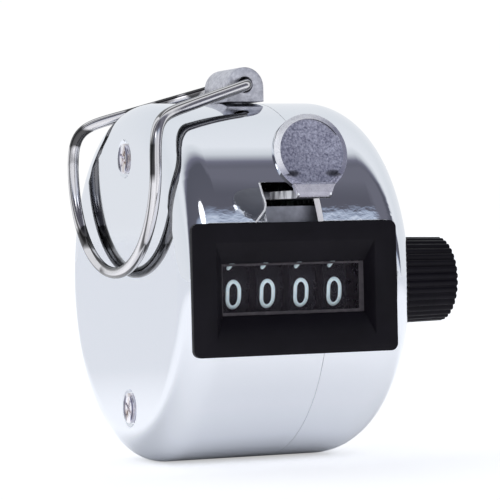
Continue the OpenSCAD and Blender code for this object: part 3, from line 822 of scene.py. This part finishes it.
def ribbon(points, width):
    """Vertices and faces, in two dimensions, of a stroke; an open one gets round ends."""
    pts = fine(points)
    touching = 1e-4
    closed = (pts[0] - pts[-1]).length < touching
    if closed:
        pts = pts[:-1]
    n = len(pts)
    verts, faces = [], []
    for i, p in enumerate(pts):
        a = pts[(i - 1) % n] if closed or i > 0 else p
        b = pts[(i + 1) % n] if closed or i < n - 1 else p
        t = (b - a).normalized()
        side = Vector((-t.y, t.x))
        if 0 < i < n - 1 or closed:
            u, v = (p - a).normalized(), (b - p).normalized()
            cos_half = math.sqrt(max(0.25, (1 + u.dot(v)) / 2))
            side = side / cos_half
        verts += [p + side * width / 2, p - side * width / 2]
    for i in range(n if closed else n - 1):
        j = (i + 1) % n
        faces.append((2 * i, 2 * i + 1, 2 * j + 1, 2 * j))
    if not closed:
        for end, inner in ((0, 1), (n - 1, n - 2)):
            t = (pts[end] - pts[inner]).normalized()
            s = Vector((-t.y, t.x))
            base = len(verts)
            steps = 6
            for k in range(steps + 1):
                a = math.pi * k / steps
                verts.append(pts[end] + (math.cos(a) * s + math.sin(a) * t) * width / 2)
            faces.append(tuple(range(base, base + steps + 1)))
    return verts, faces


def digits(name, x, body):
    """The ten digits printed round one wheel, whose middle is at x."""
    axis = Vector(JOINTS["units_turn"]["pos_m"]) / MM
    radius = 8.53          # just above the wheel
    rest = -7.3            # how far below the window's middle the nought stands, in degrees
    stroke_width = 0.52
    verts, faces = [], []
    for d, strokes in digit_strokes().items():
        for stroke in strokes:
            flat_verts, flat_faces = ribbon(stroke, stroke_width)
            base = len(verts)
            for p in flat_verts:
                a = math.radians(rest - 36 * d) + p.y / radius
                verts.append((x + p.x, axis.y - radius * math.cos(a), axis.z + radius * math.sin(a)))
            faces += [tuple(base + k for k in f) for f in flat_faces]
    obj = make_piece(name, verts, faces, "white", body)
    ink = obj.modifiers.new("ink", "SOLIDIFY")
    ink.thickness = 0.03 * MM
    ink.offset = 0


# each reset pawl starts a little to the right of its wheel's middle
PAWL_SHIFT = 0.32
for place in ("units", "tens", "hundreds", "thousands"):
    pawl_low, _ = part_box("reset_pawl_" + place)
    digits("digits_" + place, pawl_low.x / MM - PAWL_SHIFT, place)


# ---------------------------------------------------------------- stage

def pale_floor():
    """A pale floor that glows a little, evenly to the camera; to mirrors its glow has a painted shadow that
    darkens close to where the drum stands.
    """
    s = Shader("pale_floor", (0.96, 0.965, 0.98), 0.9, 0.0, 0.1)
    squeeze = 0.4          # the painted shadow is that much longer along the drum than across it
    to_camera = 0.47
    x, y, _ = s.split()
    far = s.math("DIVIDE", s.length(s.product(x, squeeze), y), MM)
    painted_shadow_glow = s.steps(far, 0, 240, [(3, 0.0), (7, 0.03), (12, 0.22), (20, 0.37), (34, 0.48),
                                     (90, 0.48), (220, 0.27)])
    glow = s.node("ShaderNodeMix", data_type="FLOAT")
    s.link(s.seen(), glow.inputs[0])
    s.link(painted_shadow_glow, glow.inputs[2])
    glow.inputs[3].default_value = to_camera
    s.bsdf.inputs["Emission Color"].default_value = (1, 1, 1, 1)
    s.link(glow.outputs[0], s.bsdf.inputs["Emission Strength"])
    return s.mat


def lay_floor(half_width):
    """A square floor under the object, in metres."""
    z = CAD_BOX[0].z
    mesh = bpy.data.meshes.new("floor")
    mesh.from_pydata([(x * half_width, y * half_width, z)
                      for x, y in ((-1, -1), (1, -1), (1, 1), (-1, 1))], [], [(0, 1, 2, 3)])
    floor = bpy.data.objects.new("floor", mesh)
    bpy.context.scene.collection.objects.link(floor)
    floor.data.materials.append(pale_floor())


lay_floor(6)


# the room's color against the angle up from the front, over the top and down at the back
ROOM = [
    (0, (0.90, 0.92, 0.95)), (33, (0.85, 0.88, 0.95)), (40, (0.55, 0.62, 0.75)),
    (46, (0.28, 0.32, 0.42)), (49, (0.12, 0.12, 0.15)), (78, (0.105, 0.108, 0.135)),
    (83, (0.2, 0.2, 0.26)), (89, (0.72, 0.75, 0.78)), (96, (0.92, 0.94, 0.97)),
    (130, (0.84, 0.87, 0.90)), (180, (0.88, 0.90, 0.93)),
]


def build_world():
    """White to the camera; to mirrors, a pale room with a dark strip across its ceiling."""
    world = bpy.data.worlds.new("studio")
    bpy.context.scene.world = world
    world.use_nodes = True
    w = Nodes(world.node_tree, "Generated")
    x, y, z = w.split()
    rise = w.turned(z, y)
    beside = w.steps(w.turned(x, y), -180, 180, [(-180, 0), (38, 0), (50, 1), (74, 1), (80, 0)])
    # a dark curtain hangs at the right, below the ceiling strip
    curtain = w.product(beside, w.ramp(rise, 0, 1, (84, 76)))
    room = w.mix(curtain, w.steps(rise, 0, 180, ROOM), (0.17, 0.17, 0.21))
    w.link(w.mix(w.seen(), room, (1.02, 1.02, 1.02)), w.tree.nodes["Background"].inputs[0])


build_world()


def soft_light(name, azimuth, elevation, distance, size, power):
    """A round lamp that faces the origin: angles in degrees, metres and watts."""
    a, e = math.radians(azimuth), math.radians(elevation)
    back = Vector((math.sin(a) * math.cos(e), -math.cos(a) * math.cos(e), math.sin(e)))
    data = bpy.data.lights.new(name, "AREA")
    data.shape = "DISK"
    data.size = size
    data.energy = power
    lamp = bpy.data.objects.new(name, data)
    lamp.location = back * distance
    lamp.rotation_mode = "QUATERNION"
    lamp.rotation_quaternion = back.to_track_quat("Z", "Y")
    bpy.context.scene.collection.objects.link(lamp)


soft_light("key", -35, 40, 0.9, 0.24, 0.25)

bpy.context.scene.view_settings.view_transform = "Standard"


# ---------------------------------------------------------------- camera

def place_camera():
    """The photograph's view: a little from the left, almost level, through a long lens."""
    azimuth, elevation, roll = 22.76, 1.23, 1.23
    distance = 0.358
    focal = 5.048                     # in image widths
    across, below = -0.0232, 0.060    # where the origin falls, from the middle, in image widths
    a, e, r = (math.radians(v) for v in (azimuth, elevation, roll))
    back = Vector((-math.sin(a) * math.cos(e), -math.cos(a) * math.cos(e), math.sin(e)))
    right = Vector((math.cos(a), -math.sin(a), 0))
    up = back.cross(right)
    cam_right = right * math.cos(r) - up * math.sin(r)
    cam_up = right * math.sin(r) + up * math.cos(r)
    forward = (-back - cam_right * across / focal + cam_up * below / focal).normalized()
    cam_right = forward.cross(cam_up).normalized()
    cam_up = cam_right.cross(forward)
    data = bpy.data.cameras.new("camera")
    data.sensor_width = 36
    data.lens = data.sensor_width * focal
    data.clip_start = 0.01
    data.clip_end = 20
    cam = bpy.data.objects.new("camera", data)
    bpy.context.scene.collection.objects.link(cam)
    m = Matrix((cam_right, cam_up, -forward)).transposed().to_4x4()
    m.translation = back * distance
    cam.matrix_world = m
    bpy.context.scene.camera = cam


place_camera()
